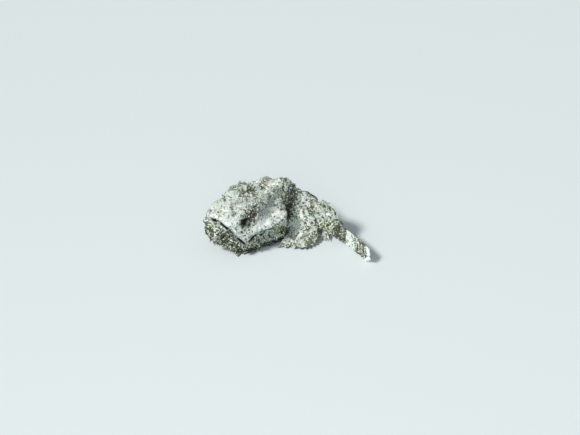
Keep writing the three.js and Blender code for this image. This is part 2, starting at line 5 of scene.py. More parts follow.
import bmesh
import bpy
import numpy as np
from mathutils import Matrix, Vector


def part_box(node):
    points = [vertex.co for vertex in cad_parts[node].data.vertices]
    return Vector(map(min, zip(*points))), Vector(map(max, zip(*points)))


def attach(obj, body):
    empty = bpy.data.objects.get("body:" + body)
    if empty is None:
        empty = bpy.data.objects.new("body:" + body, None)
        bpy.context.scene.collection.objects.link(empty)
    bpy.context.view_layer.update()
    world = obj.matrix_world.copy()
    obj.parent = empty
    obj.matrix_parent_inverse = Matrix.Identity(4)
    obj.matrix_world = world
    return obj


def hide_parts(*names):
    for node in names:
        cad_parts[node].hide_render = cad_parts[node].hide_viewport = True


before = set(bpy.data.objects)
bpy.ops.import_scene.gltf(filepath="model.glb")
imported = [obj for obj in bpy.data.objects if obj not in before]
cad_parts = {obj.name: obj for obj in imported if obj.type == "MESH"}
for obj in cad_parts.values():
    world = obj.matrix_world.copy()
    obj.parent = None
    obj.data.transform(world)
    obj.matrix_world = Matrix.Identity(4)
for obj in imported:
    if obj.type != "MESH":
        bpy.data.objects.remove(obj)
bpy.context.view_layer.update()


# Camera: it looks down over the fish's left side from about a metre away, as a diver above it would. It keeps the
# photo's framing, in which the fish is small.
VIEW_WIDTH = math.radians(42)
LOOKING_DOWN = math.radians(40)
CAMERA_DISTANCE = 1.004
CAMERA_AIM = Vector((0.0041, -0.0163, 0.0366))

lens = bpy.data.cameras.new("view")
lens.sensor_fit = "HORIZONTAL"
lens.sensor_width = 36
lens.lens = lens.sensor_width / 2 / math.tan(VIEW_WIDTH / 2)
camera = bpy.data.objects.new("view", lens)
bpy.context.scene.collection.objects.link(camera)
from_aim = Vector((0, -math.cos(LOOKING_DOWN), math.sin(LOOKING_DOWN)))
camera.location = CAMERA_AIM + from_aim * CAMERA_DISTANCE
camera.rotation_euler = (math.pi / 2 - LOOKING_DOWN, 0, 0)
bpy.context.scene.camera = camera
bpy.context.scene.view_settings.view_transform = "Standard"


# Stage: a plain pale floor, a broad light from the left, above and a little in front, and a soft sky that fills
# the shade. None of it is part of the fish.
FLOOR_SIZE = 6.0
FLOOR_COLOUR = (0.78, 0.85, 0.87, 1)
SKY_COLOUR = (0.90, 0.96, 1.0, 1)
SKY_STRENGTH = 0.30

floor_form = bmesh.new()
bmesh.ops.create_grid(floor_form, x_segments=1, y_segments=1, size=FLOOR_SIZE / 2)
floor_mesh = bpy.data.meshes.new("floor")
floor_form.to_mesh(floor_mesh)
floor_form.free()
floor = bpy.data.objects.new("floor", floor_mesh)
bpy.context.scene.collection.objects.link(floor)
floor_finish = bpy.data.materials.new("floor_paint")
floor_finish.use_nodes = True
floor_paint = floor_finish.node_tree.nodes["Principled BSDF"]
floor_paint.inputs["Base Color"].default_value = FLOOR_COLOUR
floor_paint.inputs["Roughness"].default_value = 0.9
floor_mesh.materials.append(floor_finish)


def add_light(name, kind, energy, direction, **settings):
    light = bpy.data.lights.new(name, kind)
    light.energy = energy
    for key, value in settings.items():
        setattr(light, key, value)
    lamp = bpy.data.objects.new(name, light)
    lamp.location = CAMERA_AIM + Vector(direction)
    lamp.rotation_euler = Vector(direction).to_track_quat("Z", "Y").to_euler()
    bpy.context.scene.collection.objects.link(lamp)


add_light("sun", "SUN", 2.6, (-0.85, -0.42, 1.05), angle=math.radians(12), color=(1.0, 0.99, 0.95))
add_light("fill", "AREA", 3.4, (-0.2, -1.3, 0.7), size=1.0, color=(0.95, 0.98, 1.0))
sky = bpy.data.worlds.new("sky")
sky.use_nodes = True
sky.node_tree.nodes["Background"].inputs["Color"].default_value = SKY_COLOUR
sky.node_tree.nodes["Background"].inputs["Strength"].default_value = SKY_STRENGTH
bpy.context.scene.world = sky


# Pose: the fish is described straight, in millimetres, x from snout to tail, y to its right and z up, and is then
# bent along its spine. The left eye's middle in the solids ties this to the frame.
HEAD_HEADING = math.radians(30)
# Lengths of the spine from the snout back, and the degrees that each turns
SPINE = [(88, 0), (60, -58), (55, -22), (60, -2)]
BODY_LENGTH = 203
TAIL_FIN_LENGTH = 57
EYE_MIDDLE = np.array((52.0, 25.0, 57.5))
EYE_RADIUS = 7.0


def walk_spine(along):
    along = np.asarray(along, float)
    x = np.zeros_like(along)
    y = np.zeros_like(along)
    heading = np.full_like(along, HEAD_HEADING)
    for i, (length, turn) in enumerate(SPINE):
        low = -np.inf if i == 0 else 0
        high = np.inf if i == len(SPINE) - 1 else length
        step = np.clip(along, low, high)
        swing = math.radians(turn) * step / length
        reach = step * np.sinc(swing / 2 / math.pi)
        x = x + reach * np.cos(heading + swing / 2)
        y = y + reach * np.sin(heading + swing / 2)
        heading = heading + swing
        along = along - step
    return x, y, heading


def bend_only(p):
    p = np.asarray(p, float)
    x, y, heading = walk_spine(p[..., 0])
    across = p[..., 1]
    return np.stack((x - across * np.sin(heading), y + across * np.cos(heading), p[..., 2]), -1)


left_eye_low, left_eye_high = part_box("eye_left")
eye_in_frame = (np.array(left_eye_low) + np.array(left_eye_high)) / 2
POSE_OFFSET = eye_in_frame - bend_only(EYE_MIDDLE * (1, -1, 1)) / 1000


def bend(p):
    return bend_only(p) / 1000 + POSE_OFFSET


# Flesh: one smooth field of distances to the fish's surface, in millimetres, from the same sizes as the solids. Lids
# and finer folds are added to it for the skin.
def track(pairs):
    """A smooth curve through pairs of a place and a value, level beyond its ends."""
    xs, vs = np.array(pairs, float).T
    slope = np.empty_like(vs)
    slope[1:-1] = (vs[2:] - vs[:-2]) / (xs[2:] - xs[:-2])
    slope[0] = (vs[1] - vs[0]) / (xs[1] - xs[0])
    slope[-1] = (vs[-1] - vs[-2]) / (xs[-1] - xs[-2])

    def value(x):
        x = np.clip(x, xs[0], xs[-1])
        i = np.clip(np.searchsorted(xs, x, side="right") - 1, 0, len(xs) - 2)
        span = xs[i + 1] - xs[i]
        t = (x - xs[i]) / span
        near = (1 + 2 * t) * (1 - t) ** 2 * vs[i] + t * (1 - t) ** 2 * span * slope[i]
        return near + t * t * (3 - 2 * t) * vs[i + 1] + t * t * (t - 1) * span * slope[i + 1]

    return value


half_width = track([
    (-4, 5), (0, 12), (6, 19), (14, 26), (25, 32.5), (40, 37), (60, 38), (86, 37), (102, 33), (118, 27),
    (135, 20.5), (152, 14.5), (176, 9), (BODY_LENGTH, 4.5),
])
back = track([
    (-4, 36), (0, 42), (6, 49), (16, 56), (30, 60), (52, 61), (70, 59), (84, 62), (97, 74), (108, 78), (117, 75),
    (128, 62), (140, 54), (158, 45.5), (180, 36), (BODY_LENGTH, 29),
])
belly = track([
    (-4, 26), (0, 20), (7, 13), (15, 7), (24, 2), (34, -2), (46, -5), (134, -5), (152, 0), (174, 5),
    (BODY_LENGTH, 7),
])
widest_at = track([(0, 31), (12, 27), (26, 22), (60, 23), (100, 22), (150, 19), (BODY_LENGTH, 16)])
squareness = track([(0, 2.6), (20, 3.4), (64, 3.2), (84, 2.2), (102, 1.5), (140, 1.6), (BODY_LENGTH, 2)])
JAW_HINGE = 35
mouth_level = track([(-6, 53), (4, 52.5), (11, 50), (17, 44.5), (26, 31), (JAW_HINGE, 19)])


def mirrored(p):
    """The same points on the side where y is positive."""
    return p * (1, 0, 1) + np.abs(p) * (0, 1, 0)


def ramp(value, start, end):
    """0 up to start and 1 from end on, straight between them. End may lie below start."""
    return np.clip((value - start) / (end - start), 0, 1)


def bell(value, width):
    """1 at zero, about a third at the width and almost nothing from twice the width on."""
    return np.exp(-((value / width) ** 2))


def soft_min(a, b, k):
    h = np.maximum(k - np.abs(a - b), 0) / k
    return np.minimum(a, b) - h * h * k / 4


def soft_max(a, b, k):
    return -soft_min(-a, -b, k)


def to_egg(q, centre, radii):
    radii = np.array(radii, float)
    p = (q - np.array(centre, float)) / radii
    k0 = np.linalg.norm(p, axis=-1)
    k1 = np.linalg.norm(p / radii, axis=-1)
    return k0 * (k0 - 1) / np.maximum(k1, 1e-9)


def to_ball(q, centre, radius):
    return np.linalg.norm(q - np.array(centre, float), axis=-1) - radius


def to_limb(q, a, b, ra, rb):
    a = np.array(a, float)
    d = np.array(b, float) - a
    t = np.clip((q - a) @ d / (d @ d), 0, 1)
    return np.linalg.norm(q - a - t[..., None] * d, axis=-1) - (ra + (rb - ra) * t)


def chance(i, j, k, salt):
    n = np.sin(i * 127.1 + j * 311.7 + k * 74.7 + salt * 53.3) * 43758.5453
    return n - np.floor(n)


def knobs(p, cell, small=0.45, large=0.75):
    """Round bumps from 0 to 1, about a cell apart, whose radii are shares of the cell."""
    home = np.floor(p / cell)
    best = np.zeros(p.shape[:-1])
    for i in (-1, 0, 1):
        for j in (-1, 0, 1):
            for k in (-1, 0, 1):
                a, b, c = home[..., 0] + i, home[..., 1] + j, home[..., 2] + k
                spot = np.stack((a + chance(a, b, c, 1), b + chance(a, b, c, 2), c + chance(a, b, c, 3)), -1)
                size = cell * (small + (large - small) * chance(a, b, c, 4))
                best = np.maximum(best, 1 - np.linalg.norm(spot * cell - p, axis=-1) / size)
    return best * best * (3 - 2 * best)


def to_trunk(q):
    x, y, z = q[..., 0], q[..., 1], q[..., 2]
    w = half_width(x)
    middle = widest_at(x)
    up = z > middle
    h = np.where(up, back(x) - middle, middle - belly(x))
    n = np.where(up, squareness(x), 2.4)
    r = (np.abs(y / w) ** n + np.abs((z - middle) / h) ** n) ** (1 / n)
    around = (r - 1) * np.minimum(w, h)
    return soft_max(soft_max(around, -3 - x, 5), x - BODY_LENGTH - 4, 3)


# Raised forms and hollows of the head: from, to, radius at from, radius at to, softness
HEAD_RIDGES = [
    ((6, 0, 46), (36, 0, 55), 9, 8, 6),
    ((38, 21, 60), (62, 21, 65), 5.5, 6.5, 6),
    ((68, 17, 63), (92, 12, 71), 5.5, 5, 6),
    ((42, 34, 35), (80, 37.5, 39), 4.5, 5, 4),
    ((84, 36.5, 41), (109, 33, 47), 4.5, 3, 4),
]
HEAD_HOLLOWS = [
    ((42, 0, 70), (64, 0, 70), 9, 10, 6),
    ((48, 43, 29), (82, 45.5, 31), 4, 4, 3),
    ((16, 16, 60), (32, 15, 64), 5, 5, 4),
    ((116, 33, 56), (112, 40, 12), 6.5, 4.5, 3),
]
EYE_SWELLING, EYE_SWELLING_RADIUS = (52, 21, 56.5), 10
GILL_COVER, GILL_COVER_RADII = (88, 33.5, 30), (23, 7, 21)
NAPE_DIP, NAPE_DIP_RADII = (74, 0, 69), (9, 14, 9)
EYE_PIT, EYE_PIT_RADII = (38, 37, 50), (9, 9, 7)
LIP_FROM_MOUTH, LIP_WIDTH, LIP_HEIGHT = 5, 3, 1.8
MOUTH_WIDTH, MOUTH_DEPTH = 2.2, 1.6
KNOB_SPACING, KNOB_HEIGHT = 11, 1.5


def lip_line(q):
    """How far above the mouth's line points lie, square to it."""
    slope = mouth_level(q[..., 0] + 0.5) - mouth_level(q[..., 0] - 0.5)
    return (q[..., 2] - mouth_level(q[..., 0])) / np.hypot(1, slope)


def to_flesh(p):
    q = mirrored(p)
    d = to_trunk(q)
    for a, b, ra, rb, k in HEAD_RIDGES:
        d = soft_min(d, to_limb(q, a, b, ra, rb), k)
    d = soft_min(d, to_ball(q, EYE_SWELLING, EYE_SWELLING_RADIUS), 4)
    d = soft_min(d, to_egg(q, GILL_COVER, GILL_COVER_RADII), 4)
    for a, b, ra, rb, k in HEAD_HOLLOWS:
        d = soft_max(d, -to_limb(q, a, b, ra, rb), k)
    d = soft_max(d, -to_egg(q, NAPE_DIP, NAPE_DIP_RADII), 6)
    d = soft_max(d, -to_egg(q, EYE_PIT, EYE_PIT_RADII), 3)
    from_mouth = np.abs(lip_line(q))
    lip = LIP_HEIGHT * bell(from_mouth - LIP_FROM_MOUTH, LIP_WIDTH) - MOUTH_DEPTH * bell(from_mouth, MOUTH_WIDTH)
    d = d - lip * ramp(q[..., 0], JAW_HINGE + 4, JAW_HINGE - 2)
    return d - KNOB_HEIGHT * knobs(p, KNOB_SPACING)


GAZE = np.array((-0.18, 0.93, 0.32))
GAZE /= np.linalg.norm(GAZE)
LID_RADIUS, LID_HEIGHT, LID_THICKNESS, LID_SOFTNESS = 5.5, 4.9, 2.1, 3.4
EYE_OPENING, OPENING_DEPTH = 4.8, 5.0


def to_skin(p):
    """The flesh with a fleshy lid over each eyeball and a round opening in it that shows the eye."""
    d = to_flesh(p)
    off = mirrored(p) - EYE_MIDDLE
    height = off @ GAZE
    away = np.linalg.norm(off - height[..., None] * GAZE, axis=-1)
    lid = np.hypot(away - LID_RADIUS, height - LID_HEIGHT) - LID_THICKNESS
    d = soft_min(d, lid, LID_SOFTNESS)
    opening = to_limb(off, GAZE * OPENING_DEPTH, GAZE * 16, EYE_OPENING, EYE_OPENING + 2)
    return soft_max(d, -opening, 0.6)


def slope_of(field, p, step=0.4):
    """The way out of a field at each point, a unit long."""
    parts = []
    for axis in range(3):
        nudge = np.zeros(3)
        nudge[axis] = step
        parts.append(field(p + nudge) - field(p - nudge))
    g = np.stack(parts, -1)
    return g / np.maximum(np.linalg.norm(g, axis=-1, keepdims=True), 1e-9)


# Skin: one closed hide over head, jaws, gill covers, torso and tail, found along rays from the body's middle, then
# wrinkled, cut flat at the floor and bent into the pose. It grows on the flesh and takes the place of its solids.
AROUND = 300
SNOUT_ROWS, HEAD_STEP, REAR_STEP, END_ROWS = 88, 0.65, 1.0, 12
THROAT = 30
SHOULDER = 112
REACH = 110
HALVINGS = 14


def skin_rays():
    """Where each row of the skin starts on the body's axis, and how far its rays swing towards the tail."""
    stations = [THROAT] * SNOUT_ROWS
    swings = list(np.linspace(0, math.pi / 2, SNOUT_ROWS, endpoint=False))
    body = list(np.arange(THROAT, SHOULDER, HEAD_STEP)) + list(np.arange(SHOULDER, BODY_LENGTH, REAR_STEP))
    stations += body
    swings += [math.pi / 2] * len(body)
    stations += [BODY_LENGTH] * END_ROWS
    swings += list(np.linspace(math.pi / 2, math.pi, END_ROWS))
    return np.array(stations, float), np.array(swings)


def put_points(mesh, points):
    mesh.vertices.foreach_set("co", np.ascontiguousarray(points, np.float32).ravel())
    mesh.update()


def take_vectors(data, key):
    """Rows of three numbers from a mesh's vertices or from one of its attributes."""
    values = np.empty(len(data) * 3, np.float32)
    data.foreach_get(key, values)
    return values.reshape(-1, 3).astype(float)


def note(mesh, name, values):
    layer = mesh.attributes.new(name, "FLOAT", "POINT")
    layer.data.foreach_set("value", np.ascontiguousarray(values, np.float32))


def add_piece(name, mesh):
    piece = bpy.data.objects.new(name, mesh)
    bpy.context.scene.collection.objects.link(piece)
    for polygon in mesh.polygons:
        polygon.use_smooth = True
    return piece


stations, swings = skin_rays()
hide = bmesh.new()
bmesh.ops.create_grid(hide, x_segments=AROUND, y_segments=len(stations) - 1, size=1)
hide_mesh = bpy.data.meshes.new("skin")
hide.to_mesh(hide_mesh)
hide.free()
flat = take_vectors(hide_mesh.vertices, "co")
turn = (flat[:, 0] + 1) * math.pi - math.pi / 2
row = np.rint((flat[:, 1] + 1) / 2 * (len(stations) - 1)).astype(int)
station, swing = stations[row], swings[row]
start = np.stack((station, np.zeros_like(station), widest_at(station)), -1)
aim = np.stack((-np.cos(swing), np.sin(swing) * np.cos(turn), np.sin(swing) * np.sin(turn)), -1)
near, far = np.zeros(len(flat)), np.full(len(flat), float(REACH))
for _ in range(HALVINGS):
    middle = (near + far) / 2
    inside = to_skin(start + aim * middle[:, None]) < 0
    near, far = np.where(inside, middle, near), np.where(inside, far, middle)
straight = start + aim * near[:, None]
outward = slope_of(to_skin, straight)


def near_line(q, line, width):
    """How close points lie, seen from the side, to a line of (x, z) marks: 1 on it, 0 well beyond its width."""
    spot = q[..., (0, 2)]
    best = np.full(q.shape[:-1], 1e9)
    for a, b in zip(line[:-1], line[1:]):
        a, b = np.array(a, float), np.array(b, float)
        t = np.clip((spot - a) @ (b - a) / ((b - a) @ (b - a)), 0, 1)
        best = np.minimum(best, np.linalg.norm(spot - a - t[..., None] * (b - a), axis=-1))
    return bell(best, width)


# Lines on the side of the head, as (x, z) marks
CHEEK_CRACK = [(50, 32), (58, 35.5), (72, 34.5), (79, 38.5), (90, 42), (103, 45)]
JAW_SLIT = [(40, 23), (44, 29), (49, 33)]
GILL_EDGE = [(106, 56), (113, 49), (116, 40), (115, 26), (109, 12)]
PIT_EDGE = [(38, 54), (45, 56)]

# Small forms: where they are, how wide and how high or deep
MOUTH_EDGE_WIDTH, MOUTH_EDGE_DEPTH = 0.9, 1.7
LIP_BONE_AT, LIP_BONE_RADII, LIP_BONE_HEIGHT = (36, 37, 27), (7, 20, 6), 1.1
PIT_AT, PIT_RADIUS, PIT_DEPTH = (37.5, 30, 51), 4.2, 3.4
NOSTRIL_AT, NOSTRIL_WIDTH, NOSTRIL_DEPTH = (33, 16.5, 60), 1.3, 2.4
RIM_FROM_NOSTRIL, RIM_WIDTH, RIM_HEIGHT = 2.4, 0.9, 1.0
CALM_FROM_EYE, ROUGH_FROM_EYE, CALM_SHARE = 7, 11, 0.5

# Grooves: line, depth, width
GROOVES = [(CHEEK_CRACK, 1.0, 1.7), (JAW_SLIT, 1.3, 1.6), (GILL_EDGE, 1.8, 1.5)]
# Wrinkles: shift of the noise, size, height
WRINKLES = [(0, 9, 1.7), (31, 4.6, 1.3), (77, 2.3, 0.9)]
# Warts: shift of the noise, spacing, least and greatest size as shares of the spacing, height
WARTS = [(13, 5.4, 0.22, 0.5, 0.9), (5, 2.9, 0.25, 0.5, 0.7)]


def grit(p, cell):
    """Soft noise from 0 to 1 whose lumps are about a cell across."""
    home = np.floor(p / cell)
    f = p / cell - home
    f = f * f * (3 - 2 * f)
    total = 0
    for i in (0, 1):
        for j in (0, 1):
            for k in (0, 1):
                share = (f[..., 0] if i else 1 - f[..., 0]) * (f[..., 1] if j else 1 - f[..., 1])
                share = share * (f[..., 2] if k else 1 - f[..., 2])
                total = total + share * chance(home[..., 0] + i, home[..., 1] + j, home[..., 2] + k, 9)
    return total


def blob(q, centre, radii):
    """1 at the centre, about a third at the radii and almost nothing from twice the radii on."""
    return np.exp(-np.sum(((q - np.array(centre, float)) / radii) ** 2, axis=-1))


def relief(p):
    """Millimetres that the hide stands out of the smooth flesh: warts, wrinkles, grooves, pits and the lips' edge."""
    q = mirrored(p)
    flank = ramp(q[..., 1], 14, 22)
    rise = 0
    for shift, size, height in WRINKLES:
        rise = rise + height * (grit(p + shift, size) - 0.5)
    for shift, spacing, small, large, height in WARTS:
        rise = rise + height * knobs(p + shift, spacing, small, large)
    from_eye = np.linalg.norm(q - EYE_MIDDLE, axis=-1)
    rise = rise * np.maximum(ramp(from_eye, CALM_FROM_EYE, ROUGH_FROM_EYE), CALM_SHARE)
    lips = ramp(q[..., 0], JAW_HINGE + 3, JAW_HINGE - 3)
    rise = rise - lips * MOUTH_EDGE_DEPTH * bell(lip_line(q), MOUTH_EDGE_WIDTH)
    rise = rise + LIP_BONE_HEIGHT * flank * blob(q, LIP_BONE_AT, LIP_BONE_RADII)
    for line, depth, width in GROOVES:
        rise = rise - depth * flank * near_line(q, line, width)
    rise = rise - PIT_DEPTH * blob(q, PIT_AT, PIT_RADIUS)
    from_nostril = np.linalg.norm(q - NOSTRIL_AT, axis=-1)
    rise = rise + RIM_HEIGHT * bell(from_nostril - RIM_FROM_NOSTRIL, RIM_WIDTH)
    rise = rise - NOSTRIL_DEPTH * bell(from_nostril, NOSTRIL_WIDTH)
    return rise * ramp(p[..., 2], 0, 3)


straight = straight + outward * relief(straight)[:, None]
straight[:, 2] = np.maximum(straight[:, 2], 0)
put_points(hide_mesh, bend(straight))
unbent = hide_mesh.attributes.new("straight", "FLOAT_VECTOR", "POINT")
unbent.data.foreach_set("vector", np.ascontiguousarray(straight, np.float32).ravel())

hide = bmesh.new()
hide.from_mesh(hide_mesh)
bmesh.ops.remove_doubles(hide, verts=hide.verts, dist=1e-6)
bmesh.ops.recalc_face_normals(hide, faces=hide.faces)
hide.to_mesh(hide_mesh)
hide.free()
skin = add_piece("skin", hide_mesh)
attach(skin, "root")
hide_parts("head", "upper_jaw", "lower_jaw", "gill_cover_left", "gill_cover_right", "torso", "tail")


# Colouring: mottled hide that passes for weedy rock and sand. Marks kept on a piece's points say where it is dark,
# olive, pale, green, brown or shaded, and one finish turns them into blotches, flecks, dust and painted shade.

# Spots by kind of mark: strength, middle, and reach along the body, sideways and up. The dark ones are painted shade
# in the pit before the eye, the hollow behind the hump and the nostril, two marks beside the eye and the tail's dark
# root. The shade ones pack black flecks closer: painted shade behind the hump, over the fish's own dark olive there,
# and behind the gill cover, and darker skin over the eye and at the tail's root.
SPOTS = {
    "dark": [
        (1.8, (38.5, 30, 50.5), (4.4, 8, 5.5)), (1.4, (43, 32.4, 46.5), (2, 2, 2)), (1.4, (49.5, 33, 52), (2, 2, 2)),
        (0.8, (119, 21, 40), (4, 14, 13)), (0.45, (124, 14, 52), (9, 12, 10)), (0.3, (31, 15, 59), (3, 4, 6)),
        (0.45, (199, 2, 20), (4, 30, 30)),
    ],
    "olive": [
        (1.0, (121, 14, 53), (11, 14, 13)), (0.6, (115, 25, 40), (6, 12, 12)), (0.9, (198, 0, 18), (7, 30, 30)),
        (0.45, (70, 5, 59), (6, 12, 5)), (0.5, (66, 15, 65), (6, 6, 6)), (0.5, (43, 30, 54), (9, 9, 6)),
        (0.6, (31, 15, 59), (4, 4, 6)),
    ],
    "pale": [
        (0.6, (46, 8, 62), (9, 9, 7)), (0.4, (100, 0, 76), (10, 16, 6)), (1.0, (88, 34, 50), (18, 14, 10)),
        (0.7, (62, 37, 45), (16, 14, 10)), (1.0, (5, 12, 44), (5, 8, 5)),
    ],
    "green": [
        (0.7, (68, 16, 65), (9, 7, 6)), (0.9, (182, 8, 19), (10, 12, 12)), (0.4, (116, 20, 50), (9, 12, 12)),
        (0.25, (60, 36, 55), (9, 9, 9)),
    ],
    "brown": [(0.9, (90, 8, 71), (6, 6, 6)), (0.4, (108, 30, 40), (8, 12, 12)), (0.35, (154, 6, 48), (10, 12, 8))],
    "shade": [
        (1.1, (118, 13, 58), (11, 13, 13)), (0.8, (116, 24, 42), (7, 10, 12)), (0.45, (52, 31, 62), (8, 8, 7)),
        (1.0, (200, 2, 20), (6, 30, 30)),
    ],
}
# The same for spots that only the sides carry
FLANK_SPOTS = {
    "pale": [(1.1, (55, 36, 43), (12, 20, 7)), (0.8, (36, 37, 30), (7, 20, 8)), (0.8, (94, 38, 44), (12, 14, 10))],
    "green": [(1.0, (86, 40, 26), (9, 12, 9))],
    "shade": [(0.45, (88, 40, 30), (12, 14, 10))],
}
# Painted shade along grooves on the flank: line, strength, width
GROOVE_SHADE_LINES = [(JAW_SLIT, 1.5, 2.0), (GILL_EDGE, 0.9, 1.8)]
PALE_STRENGTH = 0.7


def markings(p):
    """How dark, olive, pale, green, brown and shaded with black flecks the hide is, from 0 to 1 each."""
    q = mirrored(p)
    x, y, z = q[..., 0], q[..., 1], q[..., 2]
    flank = ramp(y, 14, 22)
    marks = {kind: sum(strength * blob(q, *spot) for strength, *spot in spots) for kind, spots in SPOTS.items()}
    for kind, spots in FLANK_SPOTS.items():
        marks[kind] += flank * sum(strength * blob(q, *spot) for strength, *spot in spots)

    mouth = lip_line(q)
    jaw = ramp(mouth, -1.5, -5.5) * ramp(x, 50, 36)
    chin_tip = blob(q, (5, 12, 44), (5, 8, 5))
    marks["olive"] += 0.75 * jaw + 0.3 * ramp(z, 10, 2) + 0.35 * ramp(x, 132, 152)
    marks["olive"] += 0.21 * ramp(z, 31, 23) * ramp(x, 44, 52) * ramp(x, 118, 108)
    marks["pale"] += 0.55 * ramp(z, 50, 58) * ramp(x, 44, 34) + 0.35 * ramp(x, 126, 138)
    marks["pale"] += 0.7 * np.clip(1 - np.abs(mouth - 4) / 7, 0, 1) * ramp(x, 36, 30)
    marks["pale"] += 1.1 * jaw * np.clip(10 * grit(p + 51, 4.0) - 5.7, 0, 1)
    marks["pale"] *= PALE_STRENGTH
    marks["green"] += jaw * (0.35 + 0.4 * ramp(z, 20, 10))
    # Painted shadow under the head: black flecks packed along the underside near the floor, next to the chin's own
    # dark flecks
    marks["shade"] += 0.7 * jaw * (1 - chin_tip) + 0.75 * ramp(z, 11, 6) * ramp(x, 26, 36) * (x < 124)

    # Painted shade: black in the mouth's gap, just under the ridge along the cheek's crack, along the grooves and the
    # pit's edge and in the nostril, and a painted shadow along the underside near the floor
    broken = np.clip(2.6 * grit(p + 7, 5.5) - 0.35, 0.1, 1)
    mouth_gap_shade = bell(mouth, 0.6 + 0.8 * broken) * (0.35 + 0.65 * broken)
    marks["dark"] += 1.7 * ramp(x, JAW_HINGE + 2, JAW_HINGE - 2) * mouth_gap_shade
    marks["dark"] += 1.2 * broken * flank * near_line(q + (0, 0, 0.8), CHEEK_CRACK, 1.2)
    for line, strength, width in GROOVE_SHADE_LINES:
        marks["dark"] += strength * flank * near_line(q, line, width)
    marks["dark"] += 0.9 * near_line(q, PIT_EDGE, 1.8) * (y > 26)
    marks["dark"] += 0.9 * bell(np.linalg.norm(q - NOSTRIL_AT, axis=-1), 1.6)
    marks["dark"] += 0.75 * ramp(z, 8, 3) * ramp(x, 30, 40) * (x < 122)
    return marks


def note_markings(mesh, marks):
    for name, values in marks.items():
        note(mesh, name, np.clip(values, 0, 1))


def add_node(tree, kind, inputs, **settings):
    node = tree.nodes.new(kind)
    for key, value in settings.items():
        setattr(node, key, value)
    for key, value in inputs.items():
        if isinstance(value, bpy.types.NodeSocket):
            tree.links.new(value, node.inputs[key])
        else:
            node.inputs[key].default_value = value
    return node


def mottle(tree, where, scale, detail, roughness=0.6):
    node = add_node(tree, "ShaderNodeTexNoise", {
        "Vector": where, "Scale": scale, "Detail": detail, "Roughness": roughness,
    })
    return node.outputs["Fac"]


def product(tree, a, b, plus=None):
    """a times b, with another value added to it where one is given."""
    if plus is None:
        return add_node(tree, "ShaderNodeMath", {0: a, 1: b}, operation="MULTIPLY").outputs[0]
    return add_node(tree, "ShaderNodeMath", {0: a, 1: b, 2: plus}, operation="MULTIPLY_ADD").outputs[0]


def step_at(tree, value, low, high, bottom=0.0, top=1.0):
    """A smooth step from bottom to top while the value goes from low to high."""
    return add_node(tree, "ShaderNodeMapRange", {
        "Value": value, "From Min": low, "From Max": high, "To Min": bottom, "To Max": top,
    }, interpolation_type="SMOOTHSTEP").outputs["Result"]


def painted(tree, under, over, share):
    """One colour laid over another in the given share."""
    node = add_node(tree, "ShaderNodeMix", {0: share, 6: under, 7: over}, data_type="RGBA")
    return node.outputs[2]


def mark_of(tree, name):
    return add_node(tree, "ShaderNodeAttribute", {}, attribute_name=name).outputs["Fac"]


CREAM = (0.63, 0.73, 0.69, 1)
SAGE = (0.34, 0.41, 0.31, 1)
FRECKLE = (0.20, 0.24, 0.12, 1)
OLIVE = (0.20, 0.25, 0.075, 1)
ALGAE = (0.27, 0.36, 0.035, 1)
RUST = (0.36, 0.22, 0.15, 1)
BLACKISH = (0.016, 0.024, 0.009, 1)
UMBER = (0.080, 0.090, 0.020, 1)
SAND = (0.92, 0.95, 0.93, 1)
# Black for the dark marks: painted shade in grooves, pits and under the head, and the fins' and tail's own black
# marks
SHADE_AND_MARK_BLACK = (0.010, 0.011, 0.010, 1)

# Cells of each pattern to the metre, and how far the patterns wander off their places in metres
WANDER_CELLS, PATCH_CELLS, BLOTCH_CELLS, FLECK_CELLS = 190.0, 75.0, 245.0, 270.0
FRECKLE_CELLS, DOT_CELLS, GRAIN_CELLS = 340.0, 345.0, 1100.0
WANDER = 0.004
DARK_FROM, DARK_TO = 0.665, 0.70


